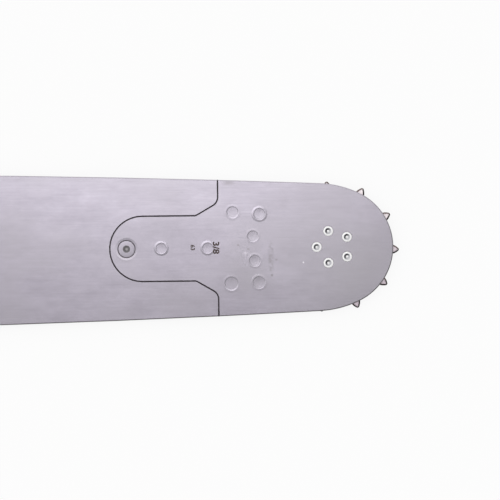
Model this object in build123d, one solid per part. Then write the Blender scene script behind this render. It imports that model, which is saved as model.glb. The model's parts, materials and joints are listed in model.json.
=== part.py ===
from build123d import *
import os
from math import asin, atan2, cos, degrees, pi, radians, sin, tan

# A chainsaw guide bar with a replaceable sprocket nose, lying flat on its saw side.
# The origin is the centre of the stud slot on the saw side. +X runs to the nose, and
# +Z comes out of the cover side. Sizes are in millimetres and angles in degrees.

# Chain that runs round the bar
chain_pitch = 9.525
chain_gauge = 1.6
groove_depth = 8.0

# Bar
bar_length = 595.0
plate_thickness = 1.6
rail_below_pitch_line = 4.56
blend_start = 63.4
blend_radius = 48.0
belly_behind_axle = 300.0
belly_rise = 6.72
rail_bevel = 0.5

# Tail
slot_from_tail = 49.0
stud_slot_length = 58.0
stud_slot_width = 9.0
tension_hole_diameter = 6.8
tension_hole_spread = 34.6
tension_hole_x = -12.0
oil_hole_diameter = 4.5
oil_hole_into_groove = 1.5
oil_hole_x = 16.0
tail_end_width = 28.0
tail_slope = 42.0
tail_end_corner = 10.0
tail_rail_corner = 15.0

# Seam between bar and nose, measured back from the sprocket's axle
shoulder_back = 55.4
shoulder_run = 10.9
shoulder_slope = 30.0
shoulder_corner = 5.0
neck_corner = 3.0
tongue_width = 31.0
tongue_back = 107.7
seam_gap = 0.5
seam_break = 0.12

# Key along each side of the nose's core, and the bar's tab under the nose rivet
key_width = 2.0
key_clearance = 0.15
tab_beyond_rivet = 9.0

# Sprocket
tooth_count = 11
tooth_phase = -2.8
tip_below_pitch_line = 1.72
tooth_width = 4.4
tooth_tip_width = 0.8
tooth_bulge = 0.35
gullet_below_pitch_line = 11.0
tooth_bevel = 0.85
tooth_bevel_depth = 0.5
sprocket_side_clearance = 0.1
pocket_clearance = 0.6

# Bearing
race_diameter = 24.0
roller_diameter = 2.9
roller_clearance = 0.05
roller_spacing = 0.1

# Rivets
rivet_clearance = 0.05
bearing_rivet_count = 5
bearing_rivet_circle_diameter = 16.14
bearing_rivet_head = 4.9
bearing_rivet_edge = 0.15
bearing_rivet_crown = 0.03
bearing_rivet_shank = 3.2
bearing_rivet_dimple = 3.0
bearing_rivet_dimple_floor = 1.2
bearing_rivet_dimple_depth = 0.6
nose_rivet_from_end = 7.8
nose_rivet_head = 8.7
nose_rivet_edge = 0.45
nose_rivet_crown = 0.12
nose_rivet_shank = 6.0
nose_rivet_dimple = 3.5
nose_rivet_dimple_floor = 1.5
nose_rivet_dimple_depth = 0.7
nose_rivet_seat_diameter = 10.8
nose_rivet_seat_depth = 0.12
countersink_depth = 0.9

# Spot-weld marks: ahead of the shoulder line, off the axis, diameter, depth of the bowl, height of the rim
weld_marks = [
    (-27.75, 0.2, 5.5, 0.05, 0.08),
    (-5.35, 0.1, 5.5, 0.05, 0.08),
    (6.8, 17.2, 6.1, 0.07, 0.012),
    (19.8, 16.3, 6.0, 0.1, 0.05),
    (16.5, 5.6, 5.7, 0.09, 0.01),
    (17.4, -6.25, 5.9, 0.15, 0.01),
    (6.0, -17.2, 7.0, 0.06, 0.01),
    (19.3, -16.75, 6.3, 0.14, 0.015),
]
weld_wall = 0.6
weld_bowl_share = 0.3
weld_rim_width = 1.8

# Sizes that follow from those
bar_thickness = 2 * plate_thickness + chain_gauge
pitch_radius = chain_pitch / (2 * sin(pi / (2 * tooth_count)))
nose_radius = pitch_radius - rail_below_pitch_line
tip_radius = pitch_radius - tip_below_pitch_line
gullet_radius = pitch_radius - gullet_below_pitch_line
tail_x = -slot_from_tail
axle_x = tail_x + bar_length - nose_radius
shoulder_x = axle_x - shoulder_back
neck_x = shoulder_x - shoulder_run
tongue_end_x = axle_x - tongue_back
tongue_half = tongue_width / 2
nose_rivet_x = tongue_end_x + nose_rivet_from_end
tab_end_x = nose_rivet_x + tab_beyond_rivet
core_back_x = tab_end_x + seam_gap
sprocket_thickness = chain_gauge - 2 * sprocket_side_clearance
roller_circle_radius = race_diameter / 2 + roller_clearance + roller_diameter / 2
sprocket_bore_radius = roller_circle_radius + roller_diameter / 2 + roller_clearance
roller_count = int(pi / asin((roller_diameter + roller_spacing) / (2 * roller_circle_radius)))

# The rail is a nose arc, a blend arc and a long belly arc, each tangent to the next
blend_x = axle_x - (blend_radius - nose_radius) * cos(radians(blend_start))
blend_y = -(blend_radius - nose_radius) * sin(radians(blend_start))
belly_x = axle_x - belly_behind_axle
belly_half_width = blend_y + blend_radius + belly_rise
belly_run = blend_x - belly_x
belly_drop = belly_half_width - blend_y
belly_radius = (belly_run**2 + belly_drop**2 - blend_radius**2) / (2 * (belly_drop - blend_radius))
belly_y = belly_half_width - belly_radius
belly_start = degrees(atan2(blend_y - belly_y, blend_x - belly_x))
far = 2 * belly_half_width


def rail_height(x, inset):
    # Half the width between the belly arcs at x, drawn in by inset
    return belly_y + ((belly_radius - inset) ** 2 - (x - belly_x) ** 2) ** 0.5


def rail_face(inset):
    # Face between the two rails, drawn in by inset, with a square tail
    nose = CenterArc((axle_x, 0), nose_radius - inset, -blend_start, 2 * blend_start)
    blend = CenterArc((blend_x, blend_y), blend_radius - inset, blend_start, belly_start - blend_start)
    belly_end = degrees(atan2(rail_height(tail_x, inset) - belly_y, tail_x - belly_x))
    belly = CenterArc((belly_x, belly_y), belly_radius - inset, belly_start, belly_end - belly_start)
    upper = [blend, belly]
    lower = [mirror(arc, about=Plane.XZ) for arc in upper]
    tail = Line(belly @ 1, lower[1] @ 1)
    return make_face([nose, *upper, *lower, tail])


def bar_outline():
    # The rails with the tail sloped off and its corners rounded
    end_y = tail_end_width / 2
    slope_run = (far - end_y) / tan(radians(tail_slope))
    upper = [(tail_x, 0), (tail_x, end_y), (tail_x + slope_run, far), (axle_x + far, far)]
    lower = [(x, -y) for x, y in reversed(upper[1:])]
    outline = rail_face(0) & make_face(Polyline(*upper, *lower, close=True))
    end_corners = outline.vertices().sort_by(Axis.X)[:2]
    outline = fillet(end_corners, tail_end_corner)
    rail_corners = outline.vertices().sort_by(Axis.X)[4:6]
    return fillet(rail_corners, tail_rail_corner)


def nose_zone():
    # Everything on the nose's side of the seam: round tongue, sloped shoulders, square ends
    shoulder_y = tongue_half + shoulder_run * tan(radians(shoulder_slope))
    round_x = tongue_end_x + tongue_half
    points = [
        (axle_x + far, far),
        (shoulder_x, far),
        (shoulder_x, shoulder_y),
        (neck_x, tongue_half),
        (round_x, tongue_half),
    ]
    upper = FilletPolyline(*points, radius=[0, shoulder_corner, neck_corner])
    lower = mirror(upper, about=Plane.XZ)
    tongue = CenterArc((round_x, 0), tongue_half, 90, 180)
    front = Line(upper @ 0, lower @ 0)
    return make_face([*upper.edges(), *lower.edges(), tongue, front])


def strip(from_x, to_x, width):
    return Pos((from_x + to_x) / 2, 0) * Rectangle(to_x - from_x, width)


def middle_layer(face):
    return Pos(0, 0, plate_thickness) * extrude(face, chain_gauge)


def bevel_faces(solid, size, wanted):
    # Bevel the wanted edges round the outside of the solid's two broad faces
    faces = solid.faces().filter_by(Axis.Z).sort_by(Axis.Z)
    edges = faces[0].outer_wire().edges() + faces[-1].outer_wire().edges()
    return chamfer(edges.filter_by(wanted), size)


def rivet(head, edge, crown, shank, dimple, dimple_floor, dimple_depth):
    # Alike at both ends: a punched dimple in a crowned face, a broken edge and a countersunk head
    middle = bar_thickness / 2
    rim = (dimple / 2, 0)
    brink = (head / 2 - edge, crown)
    pit = Polyline((0, middle), (0, dimple_depth), (dimple_floor / 2, dimple_depth), rim)
    face = TangentArc(rim, brink, tangent=(1, 0))
    neck = [(head / 2, crown + edge), (shank / 2, countersink_depth), (shank / 2, middle), (0, middle)]
    side = Polyline(brink, *neck)
    half = revolve(Plane.YZ * make_face([*pit.edges(), face, *side.edges()]), Axis.Z)
    return half + mirror(half, about=Plane.XY.offset(middle))


def rivet_hole(head, head_depth, shank):
    # Through hole with a countersink at each broad face of the bar
    head_radius = head / 2 + rivet_clearance
    shank_radius = shank / 2 + rivet_clearance
    half = [(0, 0), (head_radius, 0), (head_radius, head_depth), (shank_radius, countersink_depth)]
    other_half = [(r, bar_thickness - z) for r, z in reversed(half)]
    return revolve(Plane.YZ * make_face(Polyline(*half, *other_half, close=True)), Axis.Z)


def bearing_rivet_hole():
    return rivet_hole(bearing_rivet_head, bearing_rivet_crown + bearing_rivet_edge, bearing_rivet_shank)


def nose_rivet_hole():
    return rivet_hole(nose_rivet_head, nose_rivet_crown + nose_rivet_edge, nose_rivet_shank)


def bearing_rivet_places():
    return Pos(axle_x, 0) * PolarLocations(bearing_rivet_circle_diameter / 2, bearing_rivet_count, 180)


def rivet_seat():
    # Shallow dish that the nose rivet's head draws into a plate, sunk upwards from z = 0
    dish = TangentArc((0, nose_rivet_seat_depth), (nose_rivet_seat_diameter / 2, 0), tangent=(1, 0))
    return revolve(Plane.YZ * make_face([dish, *Polyline(dish @ 1, (0, 0), dish @ 0).edges()]), Axis.Z)


def weld_dent(radius, depth, lip_z):
    # Shallow bowl sunk upwards from lip_z, with a steeper wall that rolls over at its lip
    wall_foot = (radius - weld_wall, depth - weld_bowl_share * (depth - lip_z))
    bowl = TangentArc((0, depth), wall_foot, tangent=(1, 0))
    wall = TangentArc((radius, lip_z), wall_foot, tangent=(-1, 0))
    base = Polyline((0, depth), (0, lip_z), (radius, lip_z))
    return revolve(Plane.YZ * make_face([bowl, wall, *base.edges()]), Axis.Z)


def weld_rim(radius, height):
    # Low ring of metal squeezed out round a dent, below z = 0
    inner = radius - weld_rim_width / 2
    outer = radius + weld_rim_width / 2
    crest = ThreePointArc((inner, 0), (radius, -height), (outer, 0))
    return revolve(Plane.YZ * make_face([crest, Line((outer, 0), (inner, 0))]), Axis.Z)


def bar_body(outline, floor, zone):
    socket = offset(zone, seam_gap, kind=Kind.INTERSECTION)
    body = extrude(outline - socket, bar_thickness)
    body = bevel_faces(body, rail_bevel, lambda e: e.center().X < tongue_end_x - 2 * seam_gap)
    body = bevel_faces(body, seam_break, lambda e: e.center().X > tongue_end_x - 2 * seam_gap)
    body -= middle_layer(outline - floor)
    keyway = offset(zone, key_width + key_clearance, kind=Kind.INTERSECTION)
    body -= middle_layer(keyway & strip(tab_end_x, axle_x, far))
    body += middle_layer(socket & strip(tongue_end_x - 2 * seam_gap, tab_end_x, 2 * tongue_width))
    body -= Pos(nose_rivet_x, 0) * nose_rivet_hole()
    body -= extrude(SlotOverall(stud_slot_length, stud_slot_width), bar_thickness)
    oil_hole_y = rail_height(oil_hole_x, groove_depth) + oil_hole_into_groove - oil_hole_diameter / 2
    for side in (1, -1):
        tension_hole = Pos(tension_hole_x, side * tension_hole_spread / 2) * Circle(tension_hole_diameter / 2)
        oil_hole = Pos(oil_hole_x, side * oil_hole_y) * Circle(oil_hole_diameter / 2)
        body -= extrude(tension_hole, bar_thickness)
        body -= extrude(oil_hole, bar_thickness)
    return body


def nose_plate(outline, zone, rimmed):
    # Drawn as the back plate, with its outer face down at z = 0
    plate = extrude(outline & zone, plate_thickness)
    outer_edges = plate.faces().sort_by(Axis.Z)[0].outer_wire().edges()
    plate = chamfer(outer_edges.filter_by(lambda e: e.center().X > shoulder_x + seam_gap), rail_bevel)
    outer_edges = plate.faces().sort_by(Axis.Z)[0].outer_wire().edges()
    plate = chamfer(outer_edges.filter_by(lambda e: e.center().X < shoulder_x + seam_gap), seam_break)
    plate -= Pos(nose_rivet_x, 0) * rivet_seat()
    plate -= Pos(nose_rivet_x, 0) * nose_rivet_hole()
    for place in bearing_rivet_places():
        plate -= place * bearing_rivet_hole()
    for ahead, off, size, depth, rim in weld_marks:
        place = Pos(shoulder_x + ahead, off)
        if rimmed:
            plate += place * weld_rim(size / 2, rim)
        plate -= place * weld_dent(size / 2, depth, -rim if rimmed else 0)
    return plate


def nose_front_plate(outline, zone):
    # The back plate's twin, whose weld marks have kept their raised rims
    return mirror(nose_plate(outline, zone, rimmed=True), about=Plane.XY.offset(bar_thickness / 2))


def nose_core(floor, zone):
    # A key stands out of it all along the seam, up to the floor of the chain's groove
    keyed = offset(zone, key_width, kind=Kind.INTERSECTION)
    pocket = Pos(axle_x, 0) * Circle(tip_radius + pocket_clearance)
    return middle_layer((floor & keyed & strip(core_back_x, axle_x, far)) - pocket)


def tooth_gap(widening):
    # Gap between two teeth, drawn on +X, with each flank and the gullet moved outwards by widening
    half_pitch = pi / tooth_count
    half_width = asin((tooth_width / 2 - widening) / nose_radius)
    half_tip = asin((tooth_tip_width / 2 - widening) / tip_radius)
    base = Vector(nose_radius, 0).rotate(Axis.Z, degrees(half_pitch - half_width))
    tip = Vector(tip_radius, 0).rotate(Axis.Z, degrees(half_pitch - half_tip))
    beyond = tip / cos(2 * half_pitch)
    bulge = (base + tip) / 2 - Vector(0, tooth_bulge)
    flank = ThreePointArc(base, bulge, tip)
    other_flank = mirror(flank, about=Plane.XZ)
    gullet = ThreePointArc(other_flank @ 0, (gullet_radius - widening, 0), base)
    mouth = Polyline(tip, beyond, (beyond.X, -beyond.Y), other_flank @ 1)
    return make_face([flank, other_flank, gullet, *mouth.edges()])


def nose_sprocket():
    # One gap, flared at both faces to bevel the teeth, is cut all round a plain ring
    gap = tooth_gap(0)
    flare = loft([tooth_gap(tooth_bevel), Pos(0, 0, tooth_bevel_depth) * gap], ruled=True)
    other_flare = mirror(flare, about=Plane.XY.offset(sprocket_thickness / 2))
    cutter = extrude(gap, sprocket_thickness) + flare + other_flare
    ring = extrude(Circle(tip_radius) - Circle(sprocket_bore_radius), sprocket_thickness)
    gap_places = PolarLocations(0, tooth_count, tooth_phase + 180 / tooth_count)
    wheel = ring - [place * cutter for place in gap_places]
    return Pos(axle_x, 0, plate_thickness + sprocket_side_clearance) * wheel


def bearing_race():
    disc = Pos(axle_x, 0) * Circle(race_diameter / 2)
    race = middle_layer(disc)
    for place in bearing_rivet_places():
        race -= place * bearing_rivet_hole()
    return race


def bearing_rollers():
    roller = extrude(Circle(roller_diameter / 2), sprocket_thickness)
    centre = Pos(axle_x, 0, plate_thickness + sprocket_side_clearance)
    return [centre * place * roller for place in PolarLocations(roller_circle_radius, roller_count)]


def bearing_rivets():
    one = rivet(
        bearing_rivet_head,
        bearing_rivet_edge,
        bearing_rivet_crown,
        bearing_rivet_shank,
        bearing_rivet_dimple,
        bearing_rivet_dimple_floor,
        bearing_rivet_dimple_depth,
    )
    return Compound([place * one for place in bearing_rivet_places()])


def nose_rivet():
    one = rivet(
        nose_rivet_head,
        nose_rivet_edge,
        nose_rivet_crown,
        nose_rivet_shank,
        nose_rivet_dimple,
        nose_rivet_dimple_floor,
        nose_rivet_dimple_depth,
    )
    return Pos(nose_rivet_x, 0) * one


def main():
    outline = bar_outline()
    floor = rail_face(groove_depth)
    zone = nose_zone()
    pieces = {
        "bar_body": bar_body(outline, floor, zone),
        "nose_back_plate": nose_plate(outline, zone, rimmed=False),
        "nose_front_plate": nose_front_plate(outline, zone),
        "nose_core": nose_core(floor, zone),
        "nose_sprocket": nose_sprocket(),
        "bearing_race": bearing_race(),
        "bearing_rivets": bearing_rivets(),
        "nose_rivet": nose_rivet(),
    }
    for number, roller in enumerate(bearing_rollers(), start=1):
        pieces[f"bearing_roller_{number:02d}"] = roller
    os.makedirs("parts", exist_ok=True)
    for name, piece in pieces.items():
        export_step(piece, f"parts/{name}.step")


main()
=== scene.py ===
import json
import math

import bmesh
import bpy
from mathutils import Matrix, Vector, noise
from mathutils.bvhtree import BVHTree


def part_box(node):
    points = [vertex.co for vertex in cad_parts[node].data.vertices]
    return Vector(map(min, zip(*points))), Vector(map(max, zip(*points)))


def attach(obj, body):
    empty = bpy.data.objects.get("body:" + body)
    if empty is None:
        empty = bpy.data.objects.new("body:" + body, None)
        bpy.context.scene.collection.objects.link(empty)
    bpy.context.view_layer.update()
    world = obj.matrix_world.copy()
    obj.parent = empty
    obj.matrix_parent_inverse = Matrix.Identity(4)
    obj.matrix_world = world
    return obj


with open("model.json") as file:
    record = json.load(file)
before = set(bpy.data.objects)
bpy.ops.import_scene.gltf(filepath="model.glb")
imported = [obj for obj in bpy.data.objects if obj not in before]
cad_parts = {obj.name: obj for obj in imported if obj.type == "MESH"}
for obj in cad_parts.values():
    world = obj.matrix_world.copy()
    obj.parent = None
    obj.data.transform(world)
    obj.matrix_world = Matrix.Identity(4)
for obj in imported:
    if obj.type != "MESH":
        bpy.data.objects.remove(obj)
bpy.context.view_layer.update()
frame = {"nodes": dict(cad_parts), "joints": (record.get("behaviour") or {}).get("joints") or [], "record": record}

mm = 0.001
scene = bpy.context.scene
scene.view_settings.view_transform = "Standard"

# places that everything else is measured from
axle = Vector(frame["joints"][0]["pos_m"])
barFaces = (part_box("bar_body")[0].z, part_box("bar_body")[1].z)
midHeight = sum(barFaces) / 2
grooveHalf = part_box("nose_core")[1].z - midHeight
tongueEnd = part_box("nose_front_plate")[0].x
noseRivetX = (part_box("nose_rivet")[0].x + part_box("nose_rivet")[1].x) / 2
upward = (0.0, 0.0, 1.0)
print("frame loaded, axle at", [round(v, 4) for v in axle])


# small helpers for node trees
def addNode(tree, kind, values=None, **settings):
    node = tree.nodes.new(kind)
    for key, value in settings.items():
        setattr(node, key, value)
    for key, value in (values or {}).items():
        node.inputs[key].default_value = value
    return node


def newMaterial(name, metallic):
    material = bpy.data.materials.new(name)
    material.use_nodes = True
    tree = material.node_tree
    tree.nodes.clear()
    shader = addNode(tree, "ShaderNodeBsdfPrincipled", {"Metallic": metallic})
    output = addNode(tree, "ShaderNodeOutputMaterial")
    tree.links.new(shader.outputs["BSDF"], output.inputs["Surface"])
    return material, tree, shader


def remap(tree, value, low, high, toLow=0.0, toHigh=1.0):
    ends = {"From Min": low, "From Max": high, "To Min": toLow, "To Max": toHigh}
    node = addNode(tree, "ShaderNodeMapRange", ends)
    tree.links.new(value, node.inputs["Value"])
    return node.outputs["Result"]


def combine(tree, operation, *values):
    node = addNode(tree, "ShaderNodeMath", operation=operation)
    for socket, value in zip(node.inputs, values):
        if isinstance(value, float):
            socket.default_value = value
        else:
            tree.links.new(value, socket)
    return node.outputs["Value"]


def tint(tree, factor, first, second):
    node = addNode(tree, "ShaderNodeMix", data_type="RGBA")
    tree.links.new(factor, node.inputs["Factor"])
    for socket, colour in (("A", first), ("B", second)):
        target = [s for s in node.inputs if s.name == socket and s.type == "RGBA"][0]
        if isinstance(colour, tuple):
            target.default_value = (*colour, 1)
        else:
            tree.links.new(colour, target)
    return [s for s in node.outputs if s.type == "RGBA"][0]


def objectCoords(tree):
    return addNode(tree, "ShaderNodeTexCoord").outputs["Object"]


# Object coordinates, moved and scaled
def mapped(tree, values, **settings):
    node = addNode(tree, "ShaderNodeMapping", values, **settings)
    tree.links.new(objectCoords(tree), node.inputs["Vector"])
    return node.outputs["Vector"]


def surfaceNormal(tree):
    return addNode(tree, "ShaderNodeNewGeometry").outputs["Normal"]


# how far a vector reaches along a side
def along(tree, vector, side):
    node = addNode(tree, "ShaderNodeVectorMath", {1: side}, operation="DOT_PRODUCT")
    tree.links.new(vector, node.inputs[0])
    return node.outputs["Value"]


def lengthOf(tree, vector):
    node = addNode(tree, "ShaderNodeVectorMath", operation="LENGTH")
    tree.links.new(vector, node.inputs[0])
    return node.outputs["Value"]


# noise with a scale per metre along each axis
def grain(tree, scale, detail, roughness=0.5):
    node = addNode(tree, "ShaderNodeTexNoise", {"Scale": 1.0, "Detail": detail, "Roughness": roughness})
    tree.links.new(mapped(tree, {"Scale": scale}), node.inputs["Vector"])
    return node.outputs["Fac"]


noiseSpan = (0.3, 0.7)                   # most of a noise lies in here
noiseMiddle = (0.35, 0.65)


def addBump(tree, shader, height, distance):
    bump = addNode(tree, "ShaderNodeBump", {"Strength": 1.0, "Distance": distance})
    tree.links.new(height, bump.inputs["Height"])
    tree.links.new(bump.outputs["Normal"], shader.inputs["Normal"])


# 0 on level faces, 1 on faces that slope more than steep, by the height of their normal
def slopeMask(tree, level, steep, normal=None):
    height = along(tree, normal or surfaceNormal(tree), upward)
    return remap(tree, combine(tree, "ABSOLUTE", height), level, steep)


# 0 further than shallow from the bar's middle plane, 1 nearer than deep
def depthMask(tree, shallow, deep):
    away = combine(tree, "SUBTRACT", along(tree, objectCoords(tree), upward), midHeight)
    return remap(tree, combine(tree, "ABSOLUTE", away), shallow, deep)


# soft oval patch on the upper face, placed from the axle; noise cuts up a broken one
blotch = {"detail": 3, "roughness": 0.6, "edge": (0.36, 0.56)}


def patchMask(tree, spot):
    place = (axle.x + spot["place"][0] * mm, axle.y + spot["place"][1] * mm, barFaces[1])
    size = (spot["half"][0] * mm, spot["half"][1] * mm, 1.0)
    oval = mapped(tree, {"Location": place, "Scale": size}, vector_type="TEXTURE")
    soft = remap(tree, lengthOf(tree, oval), 1.0, 1.0 - spot["soft"], 0.0, spot["strength"])
    if "broken" not in spot:
        return soft
    specks = grain(tree, (spot["broken"],) * 3, blotch["detail"], blotch["roughness"])
    return combine(tree, "MULTIPLY", soft, remap(tree, specks, *blotch["edge"]))


# satin steel, ground along the bar; a slope is the height of the face's normal
satinFinish = {
    "brush": {"scale": (60, 6500, 6500), "detail": 3},       # long thin lines along X
    "streak": {"scale": (40, 1300, 1300), "detail": 4, "roughness": 0.6},
    "streakShare": 0.3,                  # how much the streaks add to the mottling
    "mottle": {"scale": (55, 110, 110), "detail": 5, "roughness": 0.65},
    "shadeSpan": (0.375, 0.925),         # of both together: dark, light
    "light": (0.545, 0.507, 0.585),
    "dark": (0.415, 0.385, 0.445),
    "patch": {"scale": (24, 34, 34), "detail": 2},
    "patchSpan": (0.42, 0.66),           # of that noise: none, most
    "patchShare": (0.0, 0.6),
    "neutral": (0.468, 0.439, 0.491),
    "bevelSlope": (0.93, 0.8),           # face, bevel
    # painted light and shade on the bevels: lighter where they face up and left, darker where they face down and
    # right
    "bevelLit": (0.52, 0.485, 0.55),
    "bevelShaded": (0.155, 0.145, 0.155),
    "bevelShadeSide": (0.5, -0.87, 0.0),
    "bevelShadeSpan": (-0.62, 0.52),           # along that side, by the bevel's normal
    "wallSlope": (0.6, 0.4),             # bevel, wall
    "wall": (0.28, 0.265, 0.285),
    "grooveEdge": (0.25 * mm, 0.02 * mm),                    # past the core's faces: clean, dark
    "groove": (0.13, 0.12, 0.115),
    "roughness": (0.20, 0.26),
    "grooveRough": 0.15,                 # more in the groove
    "dentSlope": (0.998, 0.98),          # face, dent or bevel
    "dentRough": 0.24,                   # more on the slopes of dents and bevels
    "bumpDistance": 0.003 * mm,
}


def satinSteel(name, finish, spots=()):
    material, tree, shader = newMaterial(name, metallic=1.0)
    brush = grain(tree, **finish["brush"])
    streak = grain(tree, **finish["streak"])
    mottle = grain(tree, **finish["mottle"])
    patch = grain(tree, **finish["patch"])
    shade = combine(tree, "MULTIPLY_ADD", streak, finish["streakShare"], mottle)
    ground = tint(tree, remap(tree, shade, *finish["shadeSpan"]), finish["dark"], finish["light"])
    neutral = remap(tree, patch, *finish["patchSpan"], *finish["patchShare"])
    ground = tint(tree, neutral, ground, finish["neutral"])
    # stains, and patches of painted shade, laid over the ground
    for spot in spots:
        ground = tint(tree, patchMask(tree, spot), ground, spot["colour"])
    # painted light and shade on the bevels: lighter where they face up and left, darker where they face down and
    # right
    lean = along(tree, surfaceNormal(tree), finish["bevelShadeSide"])
    bevel = tint(tree, remap(tree, lean, *finish["bevelShadeSpan"]), finish["bevelLit"], finish["bevelShaded"])
    edge = tint(tree, slopeMask(tree, *finish["wallSlope"]), bevel, finish["wall"])
    ground = tint(tree, slopeMask(tree, *finish["bevelSlope"]), ground, edge)
    clean, dark = finish["grooveEdge"]
    inside = depthMask(tree, grooveHalf + clean, grooveHalf + dark)
    ground = tint(tree, inside, ground, finish["groove"])
    tree.links.new(ground, shader.inputs["Base Color"])
    rough = remap(tree, brush, *noiseSpan, *finish["roughness"])
    rough = combine(tree, "MULTIPLY_ADD", inside, finish["grooveRough"], rough)
    dents = slopeMask(tree, *finish["dentSlope"])
    rough = combine(tree, "MULTIPLY_ADD", dents, finish["dentRough"], rough)
    tree.links.new(rough, shader.inputs["Roughness"])
    addBump(tree, shader, brush, finish["bumpDistance"])
    return material


# marks of handling on the nose's front plate, with painted shade round the nose rivet and over the tongue: place
# and half size in mm from the axle
smear = (0.31, 0.287, 0.31)
oilStain = (0.42, 0.40, 0.43)
# painted shade that dims the highlight round the nose rivet
rivetShade = (0.38, 0.355, 0.39)
noseHaze = (0.470, 0.451, 0.483)
# painted shade: the tongue darker than the bar beside it
tongueShade = (0.40, 0.375, 0.425)
rubbed = (0.66, 0.62, 0.70)
brightNick = (0.95, 0.92, 0.97)
noseStainsAndShade = [
    {
        "place": (-30.2, -5.2), "half": (1.9, 9.5), "soft": 0.7, "strength": 0.6, "colour": smear,
        "broken": 800,                   # specks per metre
    },
    {"place": (-29.8, -13.4), "half": (0.8, 0.8), "soft": 0.7, "strength": 0.8, "colour": smear},
    {"place": (-27.7, -5.8), "half": (0.7, 0.7), "soft": 0.7, "strength": 0.7, "colour": smear},
    # painted shade round the nose rivet
    {"place": (-100.1, -1.5), "half": (5.4, 5.4), "soft": 0.4, "strength": 0.6, "colour": rivetShade},
    {"place": (8.0, -10.0), "half": (46.0, 40.0), "soft": 0.9, "strength": 0.5, "colour": noseHaze},
    # painted shade over the tongue
    {"place": (-88.0, 7.0), "half": (26.0, 13.0), "soft": 0.9, "strength": 0.35, "colour": tongueShade},
    {"place": (-40.2, -15.5), "half": (16.0, 13.0), "soft": 0.8, "strength": 0.3, "colour": oilStain},
    {"place": (-50.4, 31.6), "half": (4.0, 1.8), "soft": 0.8, "strength": 0.6, "colour": smear},
    {"place": (-46.0, 1.3), "half": (0.75, 0.75), "soft": 0.8, "strength": 0.7, "colour": smear},
    {"place": (-41.0, -0.6), "half": (0.8, 0.6), "soft": 0.8, "strength": 0.75, "colour": smear},
    {"place": (-42.6, -2.5), "half": (1.5, 1.2), "soft": 0.9, "strength": 0.6, "colour": rubbed},
    {"place": (-14.6, -7.35), "half": (0.55, 0.55), "soft": 0.8, "strength": 0.8, "colour": brightNick},
]


# dull steel of the core and the bearing
dullFinish = {
    **satinFinish,
    "light": (0.34, 0.32, 0.32),
    "dark": (0.24, 0.22, 0.22),
    "neutral": (0.28, 0.27, 0.26),
}

# hard steel of the sprocket, dark on its bevels and flanks, with painted shade on the teeth and edges towards the
# lower right
toothFinish = {
    "wear": {"scale": (700, 700, 700), "detail": 4, "roughness": 0.6},
    "face": (1.0, 0.93, 0.95),
    "faceDark": (0.86, 0.77, 0.80),
    # painted shade: tooth faces darker the further they lie towards the lower right of the axle
    "faceShade": (0.68, 0.59, 0.65),
    "edge": (0.16, 0.12, 0.115),
    # painted shade: edges darker where they face down and right
    "edgeShade": (0.02, 0.014, 0.012),
    "edgeReach": 1.15 * mm,              # how far the dark edge runs in over the face
    "edgeSamples": 8,
    "edgeSlope": (0.99, 0.92),           # face, edge
    "shadeSide": (0.5, -0.87, 0.0),
    "faceShadeSpan": (0.0, 22.0 * mm),        # along that side, from the axle
    "edgeShadeSpan": (-0.12, 0.12),           # along that side, by the edge's normal
    "metallic": 0.8,
    "roughness": (0.24, 0.36),
    "bumpDistance": 0.004 * mm,
}


def toothSteel(name, finish):
    material, tree, shader = newMaterial(name, finish["metallic"])
    wear = grain(tree, **finish["wear"])
    face = tint(tree, remap(tree, wear, *noiseMiddle), finish["faceDark"], finish["face"])
    # painted shade: tooth faces darker the further they lie towards the lower right of the axle
    place = along(tree, mapped(tree, {"Location": -axle}), finish["shadeSide"])
    face = tint(tree, remap(tree, place, *finish["faceShadeSpan"]), face, finish["faceShade"])
    reach = {"Radius": finish["edgeReach"]}
    rounded = addNode(tree, "ShaderNodeBevel", reach, samples=finish["edgeSamples"]).outputs["Normal"]
    # painted shade: edges darker where they face down and right
    lean = along(tree, rounded, finish["shadeSide"])
    edge = tint(tree, remap(tree, lean, *finish["edgeShadeSpan"]), finish["edge"], finish["edgeShade"])
    rim = slopeMask(tree, *finish["edgeSlope"], rounded)
    tree.links.new(tint(tree, rim, face, edge), shader.inputs["Base Color"])
    tree.links.new(remap(tree, wear, *noiseSpan, *finish["roughness"]), shader.inputs["Roughness"])
    addBump(tree, shader, wear, finish["bumpDistance"])
    return material


# bright ends of the bearing rivets: near-white faces, less metallic than the grey metal punched cone, with painted
# shade on the cone where it faces down and right
rivetFinish = {
    "wear": {"scale": (900, 900, 900), "detail": 3},
    "face": (1.0, 0.99, 1.0),
    "faceDark": (0.95, 0.94, 0.95),
    "cone": (0.52, 0.52, 0.54),
    # painted shade: the cone darker where its walls face down and right
    "coneShade": (0.095, 0.095, 0.105),
    "coneSlope": (0.96, 0.88),           # face, cone
    "rimSlope": (0.80, 0.74),            # cone, broken rim of the head
    "shadeSide": (0.75, -0.66, 0.0),
    "coneShadeSpan": (-0.3, 0.3),             # along that side, by the cone's normal
    "metallic": (0.35, 1.0),             # face, cone
    "roughness": (0.26, 0.36),
}


def rivetSteel(name, finish):
    material, tree, shader = newMaterial(name, metallic=1.0)
    wear = grain(tree, **finish["wear"])
    face = tint(tree, remap(tree, wear, *noiseMiddle), finish["faceDark"], finish["face"])
    sloped = slopeMask(tree, *finish["coneSlope"])
    cone = combine(tree, "SUBTRACT", sloped, slopeMask(tree, *finish["rimSlope"]))
    # painted shade: the cone darker where its walls face down and right
    lean = along(tree, surfaceNormal(tree), finish["shadeSide"])
    punched = tint(tree, remap(tree, lean, *finish["coneShadeSpan"]), finish["cone"], finish["coneShade"])
    tree.links.new(tint(tree, cone, face, punched), shader.inputs["Base Color"])
    tree.links.new(remap(tree, cone, 0.0, 1.0, *finish["metallic"]), shader.inputs["Metallic"])
    tree.links.new(remap(tree, wear, *noiseSpan, *finish["roughness"]), shader.inputs["Roughness"])
    return material


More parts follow.
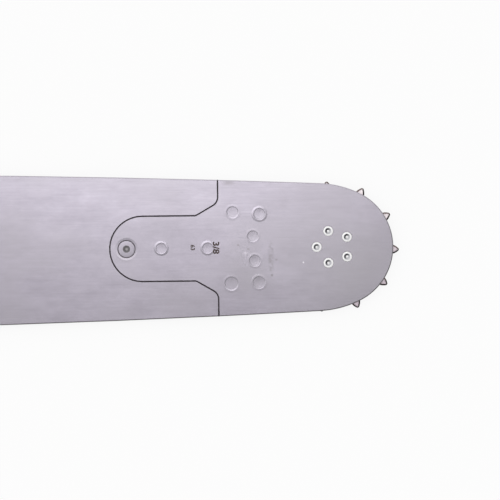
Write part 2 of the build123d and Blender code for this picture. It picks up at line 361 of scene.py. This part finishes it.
# head of the nose rivet: turned rings, dark round its edge, and painted shade in its punched cone, lighter at its
# middle
noseRivetFinish = {
    "ringsPerMetre": 900,
    "ringDetail": 2.0,
    "light": (0.56, 0.524, 0.597),
    "dark": (0.48, 0.448, 0.512),
    "edge": (0.54, 0.505, 0.54),
    "edgeSlope": (0.97, 0.85),           # face, edge
    # painted shade in the punched cone, darkest towards its rim and lighter at its middle
    "pit": (0.21, 0.20, 0.21),
    "pitRadius": (1.95 * mm, 1.6 * mm),  # clean, dark
    "pitMiddle": (0.46, 0.44, 0.45),
    "pitMiddleRadius": 0.95 * mm,
    "roughness": (0.40, 0.50),
    "bumpDistance": 0.006 * mm,
}


def turnedSteel(name, finish):
    material, tree, shader = newMaterial(name, metallic=1.0)
    radius = lengthOf(tree, mapped(tree, {"Location": (-noseRivetX, 0, 0), "Scale": (1, 1, 0)}))
    spacing = {"Scale": finish["ringsPerMetre"], "Detail": finish["ringDetail"]}
    turning = addNode(tree, "ShaderNodeTexNoise", spacing, noise_dimensions="1D")
    tree.links.new(radius, turning.inputs["W"])
    rings = turning.outputs["Fac"]
    face = tint(tree, remap(tree, rings, *noiseMiddle), finish["dark"], finish["light"])
    face = tint(tree, slopeMask(tree, *finish["edgeSlope"]), face, finish["edge"])
    # painted shade in the punched cone
    middle = remap(tree, radius, finish["pitMiddleRadius"], 0.0)
    pit = tint(tree, middle, finish["pit"], finish["pitMiddle"])
    face = tint(tree, remap(tree, radius, *finish["pitRadius"]), face, pit)
    tree.links.new(face, shader.inputs["Base Color"])
    tree.links.new(remap(tree, rings, *noiseSpan, *finish["roughness"]), shader.inputs["Roughness"])
    addBump(tree, shader, rings, finish["bumpDistance"])
    return material


# a near-black fill in the seam, painted shade for the gap, and burnt-in marks
mattFinish = {"shadeSpan": (0.35, 0.7), "roughness": (0.55, 0.75), "specular": 0.25}
seamShadeFinish = {
    **mattFinish,
    "speckle": {"scale": (500, 500, 500), "detail": 4, "roughness": 0.6},
    "dark": (0.018, 0.013, 0.017),
    "light": (0.045, 0.036, 0.043),
}
burntFinish = {
    **mattFinish,
    "speckle": {"scale": (2500, 2500, 2500), "detail": 4, "roughness": 0.6},
    "dark": (0.05, 0.036, 0.034),
    "light": (0.14, 0.105, 0.10),
}


def mattDark(name, finish):
    material, tree, shader = newMaterial(name, metallic=0.0)
    speckle = grain(tree, **finish["speckle"])
    colour = tint(tree, remap(tree, speckle, *finish["shadeSpan"]), finish["dark"], finish["light"])
    tree.links.new(colour, shader.inputs["Base Color"])
    tree.links.new(remap(tree, speckle, *noiseSpan, *finish["roughness"]), shader.inputs["Roughness"])
    shader.inputs["Specular IOR Level"].default_value = finish["specular"]
    return material


finishes = {
    "bar_steel": satinSteel("barSteel", satinFinish),
    "nose_steel": satinSteel("noseSteel", satinFinish),
    "core_steel": satinSteel("coreSteel", dullFinish),
    "sprocket_steel": toothSteel("toothSteel", toothFinish),
    "bearing_steel": satinSteel("bearingSteel", dullFinish),
    "rivet_steel": rivetSteel("rivetSteel", rivetFinish),
    "nose_rivet_steel": turnedSteel("noseRivetSteel", noseRivetFinish),
}
stainedAndShadedSteel = satinSteel("stainedShadedNoseSteel", satinFinish, noseStainsAndShade)
for subpart in frame["record"]["subparts"]:
    name = subpart["node"]
    material = stainedAndShadedSteel if name == "nose_front_plate" else finishes[subpart["material_slot"]]
    for slot in frame["nodes"][name].material_slots:
        slot.material = material
print("finishes on", len(frame["nodes"]), "nodes")


# small helpers for meshes
def addPiece(name, bm, material):
    mesh = bpy.data.meshes.new(name)
    bm.to_mesh(mesh)
    bm.free()
    mesh.materials.append(material)
    piece = bpy.data.objects.new(name, mesh)
    scene.collection.objects.link(piece)
    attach(piece, "bar")


def vertsIn(geom):
    return [g for g in geom if isinstance(g, bmesh.types.BMVert)]


# painted shade: a near-black fill packed into the seam between bar and nose, on both faces, where the gap lies in
# shade
seam = {
    "shoulderBack": 55.4 * mm,           # from the axle
    "shoulderRun": 10.9 * mm,
    "shoulderSlope": math.radians(30),
    "shoulderCorner": 5.0 * mm,
    "neckCorner": 3.0 * mm,
    "tongueHalf": 15.5 * mm,
    "railHalf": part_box("nose_front_plate")[1].y,
    "railBevel": 0.5 * mm,
    "gap": 0.5 * mm,
    "brokenEdge": 0.12 * mm,
    "sunk": 0.03 * mm,
    "depth": 1.4 * mm,
    "cornerSteps": 8,
    "roundSteps": 40,
    "longRun": 4.0 * mm,                 # straight runs from this length on are cut
    "straightCuts": 20,
    "merge": 0.01 * mm,
    "uneven": 0.02 * mm,
    "unevenScale": 900,
}


def roundCorner(bm, corner, radius, turn, steps):
    reach = radius * math.tan(turn / 2)
    bmesh.ops.bevel(
        bm, geom=[corner], offset=reach, offset_type="OFFSET", segments=steps,
        profile=0.5, affect="VERTICES", material=-1,
    )


def dropEdges(bm, edges, drop):
    made = bmesh.ops.extrude_edge_only(bm, edges=edges)["geom"]
    bmesh.ops.translate(bm, verts=vertsIn(made), vec=(0, 0, -drop))
    return [g for g in made if isinstance(g, bmesh.types.BMEdge)]


def makeSeamShadeFill(sizes):
    shoulderX = axle.x - sizes["shoulderBack"]
    neckX = shoulderX - sizes["shoulderRun"]
    shoulderY = sizes["tongueHalf"] + sizes["shoulderRun"] * math.tan(sizes["shoulderSlope"])
    roundX = tongueEnd + sizes["tongueHalf"]
    bevelY = sizes["railHalf"] - sizes["railBevel"]
    top = barFaces[1] - sizes["sunk"]
    flare = sizes["brokenEdge"] - sizes["sunk"]
    bm = bmesh.new()
    # one side of the seam, from the rail to the start of the round end
    places = [
        (shoulderX, sizes["railHalf"]), (shoulderX, bevelY), (shoulderX, shoulderY),
        (neckX, sizes["tongueHalf"]), (roundX, sizes["tongueHalf"]),
    ]
    line = [bm.verts.new((x, y, top)) for x, y in places]
    for pair in zip(line, line[1:]):
        bm.edges.new(pair)
    bmesh.ops.spin(
        bm, geom=[line[-1]], cent=(roundX, 0, top), axis=upward,
        angle=math.pi / 2, steps=sizes["roundSteps"],
    )
    shoulder, neck = line[2], line[3]
    shoulderTurn = math.pi / 2 - sizes["shoulderSlope"]
    roundCorner(bm, shoulder, sizes["shoulderCorner"], shoulderTurn, sizes["cornerSteps"])
    roundCorner(bm, neck, sizes["neckCorner"], sizes["shoulderSlope"], sizes["cornerSteps"])
    longRuns = [e for e in bm.edges if e.calc_length() > sizes["longRun"]]
    bmesh.ops.subdivide_edges(bm, edges=longRuns, cuts=sizes["straightCuts"])
    bmesh.ops.mirror(bm, geom=bm.verts[:] + bm.edges[:], axis="Y", merge_dist=sizes["merge"])
    # a wall as thick as the gap, flared at its top over the broken edges
    lower = dropEdges(bm, bm.edges[:], flare)
    dropEdges(bm, lower, sizes["depth"])
    bmesh.ops.recalc_face_normals(bm, faces=bm.faces[:])
    back = min(bm.faces, key=lambda f: f.calc_center_median().x)
    if back.normal.x < 0:                # the wall grows against its normals, towards the bar
        bmesh.ops.reverse_faces(bm, faces=bm.faces[:])
    bmesh.ops.solidify(bm, geom=bm.faces[:], thickness=sizes["gap"])
    bmesh.ops.recalc_face_normals(bm, faces=bm.faces[:])
    outward = {v: Vector((v.normal.x, v.normal.y, 0)).normalized() for v in bm.verts}
    for v in bm.verts:
        if v.co.z > top - flare / 2:
            v.co += outward[v] * flare
            v.co.z -= sizes["uneven"] * abs(noise.noise(v.co * sizes["unevenScale"]))
        if abs(v.co.y) > bevelY and v.co.z > top - flare * 2:
            v.co.z -= abs(v.co.y) - bevelY
    bmesh.ops.mirror(
        bm, geom=bm.verts[:] + bm.edges[:] + bm.faces[:], axis="Z",
        matrix=Matrix.Translation((0, 0, -midHeight)), merge_dist=0,
    )
    bmesh.ops.recalc_face_normals(bm, faces=bm.faces[:])
    return bm


# the fill stands in for the shade in the gap
addPiece("seamShadeFill", makeSeamShadeFill(seam), mattDark("seamShadeFill", seamShadeFinish))
print("seam dirt laid")


# burnt-in numbers that read across the nose: places from the axle and sizes in mm
marks = [
    {"name": "pitchMark", "words": "3/8", "place": (-56.65, 0.15), "height": 3.2, "length": 5.9},
    {"name": "gaugeMark", "words": "63", "place": (-67.9, 0.4), "height": 2.1, "length": 2.65},
]
markLay = {
    "thicken": 0.03,                     # in units of the font
    "merge": 0.0005,                     # in units of the font
    "cut": 0.25 * mm,
    "cutReach": 1e-7,
    "above": 5.0 * mm,                   # where the rays to the plate start
    "proud": 0.012 * mm,
    "sunk": 0.05 * mm,
}


def layMark(mark, lay, ground):
    words = bpy.data.curves.new(mark["name"], "FONT")
    words.body = mark["words"]
    words.offset = lay["thicken"]
    holder = bpy.data.objects.new("words", words)
    scene.collection.objects.link(holder)
    bpy.context.view_layer.update()
    flat = bpy.data.meshes.new_from_object(holder.evaluated_get(bpy.context.evaluated_depsgraph_get()))
    bpy.data.objects.remove(holder)
    bm = bmesh.new()
    bm.from_mesh(flat)
    bpy.data.meshes.remove(flat)
    bmesh.ops.remove_doubles(bm, verts=bm.verts[:], dist=lay["merge"])
    # fitted to its box, then turned so that it reads down the picture
    low = Vector((min(v.co.x for v in bm.verts), min(v.co.y for v in bm.verts), 0))
    high = Vector((max(v.co.x for v in bm.verts), max(v.co.y for v in bm.verts), 0))
    bmesh.ops.translate(bm, verts=bm.verts[:], vec=-(low + high) / 2)
    size = high - low
    fit = (mark["length"] * mm / size.x, mark["height"] * mm / size.y, 1)
    bmesh.ops.scale(bm, verts=bm.verts[:], vec=fit)
    bmesh.ops.rotate(bm, verts=bm.verts[:], cent=(0, 0, 0), matrix=Matrix.Rotation(-math.pi / 2, 3, "Z"))
    place = Vector((axle.x + mark["place"][0] * mm, axle.y + mark["place"][1] * mm, barFaces[1]))
    bmesh.ops.translate(bm, verts=bm.verts[:], vec=place)
    # cut fine enough to follow the weld mark below, and laid on the plate
    reach = max(mark["length"], mark["height"]) * mm / 2
    for step in range(1, int(2 * reach / lay["cut"])):
        for normal in ((1, 0, 0), (0, 1, 0)):
            cut = place + (step * lay["cut"] - reach) * Vector(normal)
            bmesh.ops.bisect_plane(
                bm, geom=bm.verts[:] + bm.edges[:] + bm.faces[:], dist=lay["cutReach"],
                plane_co=cut, plane_no=normal,
            )
    for v in bm.verts:
        hit = ground.ray_cast(v.co + lay["above"] * Vector(upward), -Vector(upward))[0]
        v.co.z = hit.z + lay["proud"]
    below = bmesh.ops.extrude_face_region(bm, geom=bm.faces[:])["geom"]
    bmesh.ops.translate(bm, verts=vertsIn(below), vec=(0, 0, -lay["sunk"]))
    bmesh.ops.recalc_face_normals(bm, faces=bm.faces[:])
    return bm


plate = frame["nodes"]["nose_front_plate"].data
ground = BVHTree.FromPolygons([v.co for v in plate.vertices], [p.vertices for p in plate.polygons])
burnt = mattDark("burntMark", burntFinish)
for mark in marks:
    addPiece(mark["name"], layMark(mark, markLay, ground), burnt)
print("marks burnt in")


# floor, sky and camera
floorSizes = {
    "side": 60.0,
    "drop": 0.05 * mm,
    "shade": (0.9, 0.9, 0.9, 1),
    "white": 0.88,                       # share of plain white that the camera and mirrors see
}


def makeFloor(sizes):
    mesh = bpy.data.meshes.new("floor")
    bm = bmesh.new()
    bmesh.ops.create_grid(bm, x_segments=1, y_segments=1, size=sizes["side"] / 2)
    bmesh.ops.translate(bm, verts=bm.verts, vec=(axle.x / 2, 0, -sizes["drop"]))
    bm.to_mesh(mesh)
    bm.free()
    floor = bpy.data.objects.new("floor", mesh)
    scene.collection.objects.link(floor)
    material = bpy.data.materials.new("paleFloor")
    material.use_nodes = True
    tree = material.node_tree
    tree.nodes.clear()
    matt = addNode(tree, "ShaderNodeBsdfDiffuse", {"Color": sizes["shade"]})
    glow = addNode(tree, "ShaderNodeEmission", {"Strength": 1.0})
    path = addNode(tree, "ShaderNodeLightPath")
    mix = addNode(tree, "ShaderNodeMixShader")
    output = addNode(tree, "ShaderNodeOutputMaterial")
    seen = combine(tree, "MAXIMUM", path.outputs["Is Camera Ray"], path.outputs["Is Glossy Ray"])
    seen = combine(tree, "MAXIMUM", seen, path.outputs["Is Transmission Ray"])
    tree.links.new(combine(tree, "MULTIPLY", seen, sizes["white"]), mix.inputs["Fac"])
    tree.links.new(matt.outputs[0], mix.inputs[1])
    tree.links.new(glow.outputs[0], mix.inputs[2])
    tree.links.new(mix.outputs[0], output.inputs["Surface"])
    mesh.materials.append(material)


makeFloor(floorSizes)

# levels and edges of the sky, by the part of a direction along a side
studio = {
    "low": (0.75, 1.05),                 # level low round the bar, by dimSide
    "lowEdge": (-0.6, 0.6),
    "dim": (0.25, 0.56),                 # level overhead, by dimSide
    "dimSide": (-0.7, 0.7, 0.0),
    "dimEdge": (-0.7, -0.1),
    "panelRise": 1.56,
    "nearSide": (0.0, 1.0, 0.0),         # the bright panel starts over the bar's middle line
    "nearEdge": (-0.02, 0.06),
    "noseSide": (1.0, 0.0, 0.0),         # ends past the nose
    "noseEdge": (0.15, 0.04),
    "tailSide": (1.0, 0.9, 0.0),         # and is weaker over the tail
    "tailEdge": (-0.24, -0.04, 0.35),    # the last is the share that stays there
    "upEdge": (0.72, 0.90),              # the panel and the dim sky end below this height
}


def makeStudio(settings):
    world = bpy.data.worlds.new("studio")
    world.use_nodes = True
    scene.world = world
    tree = world.node_tree
    background = tree.nodes["Background"]
    background.inputs["Color"].default_value = (1, 1, 1, 1)
    direction = addNode(tree, "ShaderNodeTexCoord").outputs["Generated"]

    def toward(side, *span):
        return remap(tree, along(tree, direction, side), *span)

    panel = toward(settings["nearSide"], *settings["nearEdge"])
    panel = combine(tree, "MULTIPLY", panel, toward(settings["noseSide"], *settings["noseEdge"]))
    panel = combine(tree, "MULTIPLY", panel, toward(settings["tailSide"], *settings["tailEdge"]))
    dim = toward(settings["dimSide"], *settings["dimEdge"], *settings["dim"])
    overhead = combine(tree, "MULTIPLY_ADD", panel, settings["panelRise"], dim)
    low = toward(settings["dimSide"], *settings["lowEdge"], *settings["low"])
    level = addNode(tree, "ShaderNodeMix", data_type="FLOAT")
    tree.links.new(toward(upward, *settings["upEdge"]), level.inputs["Factor"])
    tree.links.new(low, level.inputs["A"])
    tree.links.new(overhead, level.inputs["B"])
    tree.links.new(level.outputs["Result"], background.inputs["Strength"])


makeStudio(studio)

view = {
    "axlePixel": (333.5, 246.9),         # the axle in the 500 by 500 picture
    "metresPerPixel": 0.4825 * mm,
    "pictureSide": 500,
    "roll": math.radians(0.61),
    "lens": 100.0,
    "sensor": 36.0,
    "clipStart": 0.01,
}


def makeCamera(settings):
    data = bpy.data.cameras.new("camera")
    data.lens = settings["lens"]
    data.sensor_width = settings["sensor"]
    data.clip_start = settings["clipStart"]
    camera = bpy.data.objects.new("camera", data)
    scene.collection.objects.link(camera)
    scene.camera = camera
    half = settings["pictureSide"] / 2
    step = settings["metresPerPixel"]
    across = (half - settings["axlePixel"][0]) * step
    rise = (settings["axlePixel"][1] - half) * step
    turned = Matrix.Rotation(-settings["roll"], 4, "Z")
    aim = axle + turned @ Vector((across, rise, 0))
    distance = settings["pictureSide"] * step * settings["lens"] / settings["sensor"]
    camera.location = (aim.x, aim.y, barFaces[1] + distance)
    camera.rotation_euler = (0, 0, -settings["roll"])


makeCamera(view)
print("floor, sky and camera set")
